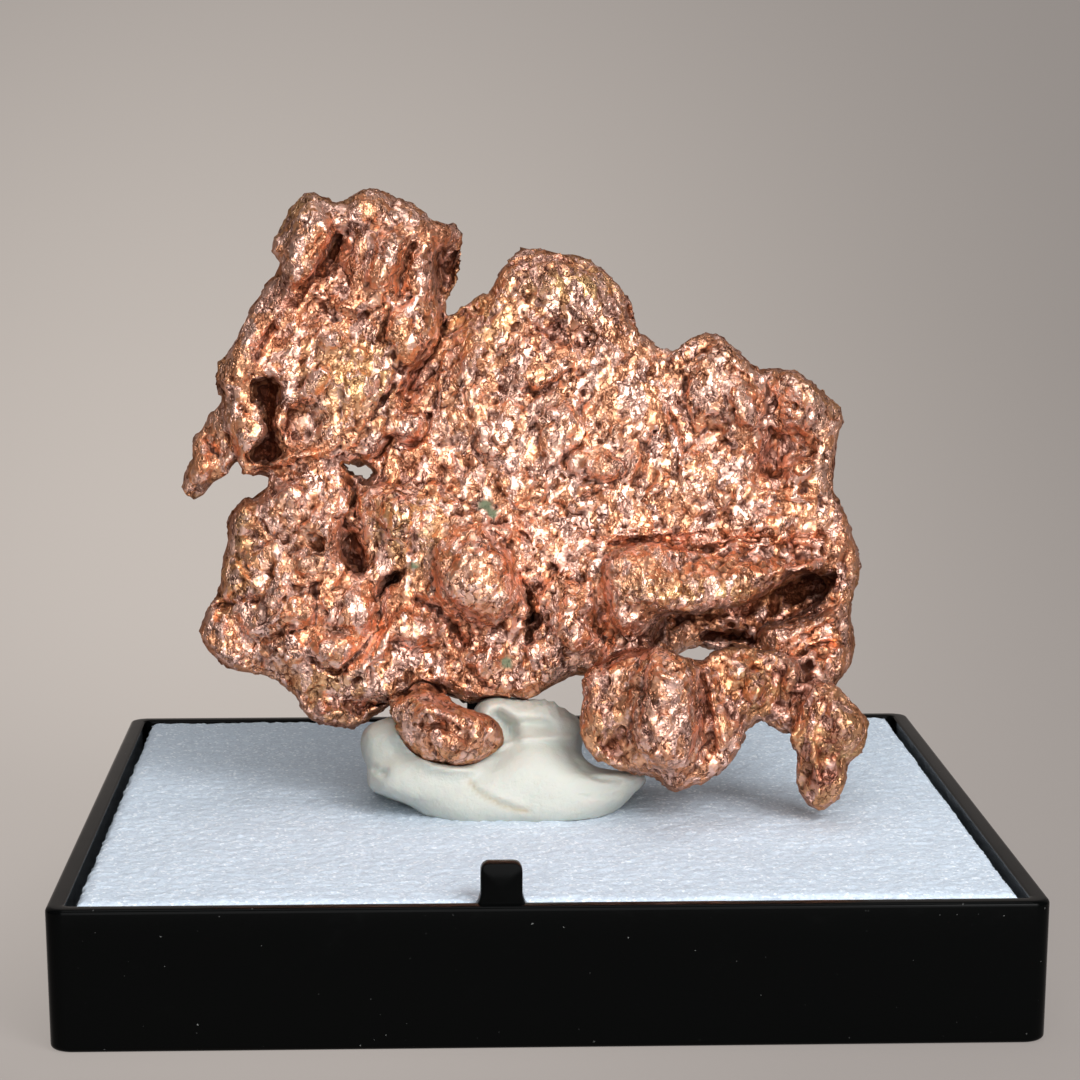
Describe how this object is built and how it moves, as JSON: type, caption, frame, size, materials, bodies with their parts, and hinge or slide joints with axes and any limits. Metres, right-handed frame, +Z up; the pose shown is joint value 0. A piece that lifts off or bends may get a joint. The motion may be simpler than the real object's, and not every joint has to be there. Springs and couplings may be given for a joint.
{
  "type": "native copper nugget",
  "caption": "Crumpled native copper nugget held upright in pressed putty on the white foam pad of a square black specimen-box base with upright catch tabs.",
  "frame": {"origin": "middle of the base's underside", "axes": "+Z up out of the base, -Y towards the face of the nugget that is shown, +X to that face's right"},
  "size_m": [0.0318, 0.0318, 0.0266],
  "materials": {
    "black_plastic": "moulded gloss black",
    "white_foam": "fine open-cell foam, rough cut",
    "off_white_putty": "smooth kneaded putty",
    "native_copper": "bright crinkled natural copper with iridescent tarnish"
  },
  "bodies": {
    "root": {"box_base": "black_plastic", "foam_pad": "white_foam", "mounting_putty": "off_white_putty", "copper_nugget": "native_copper"}
  },
  "joints": []
}
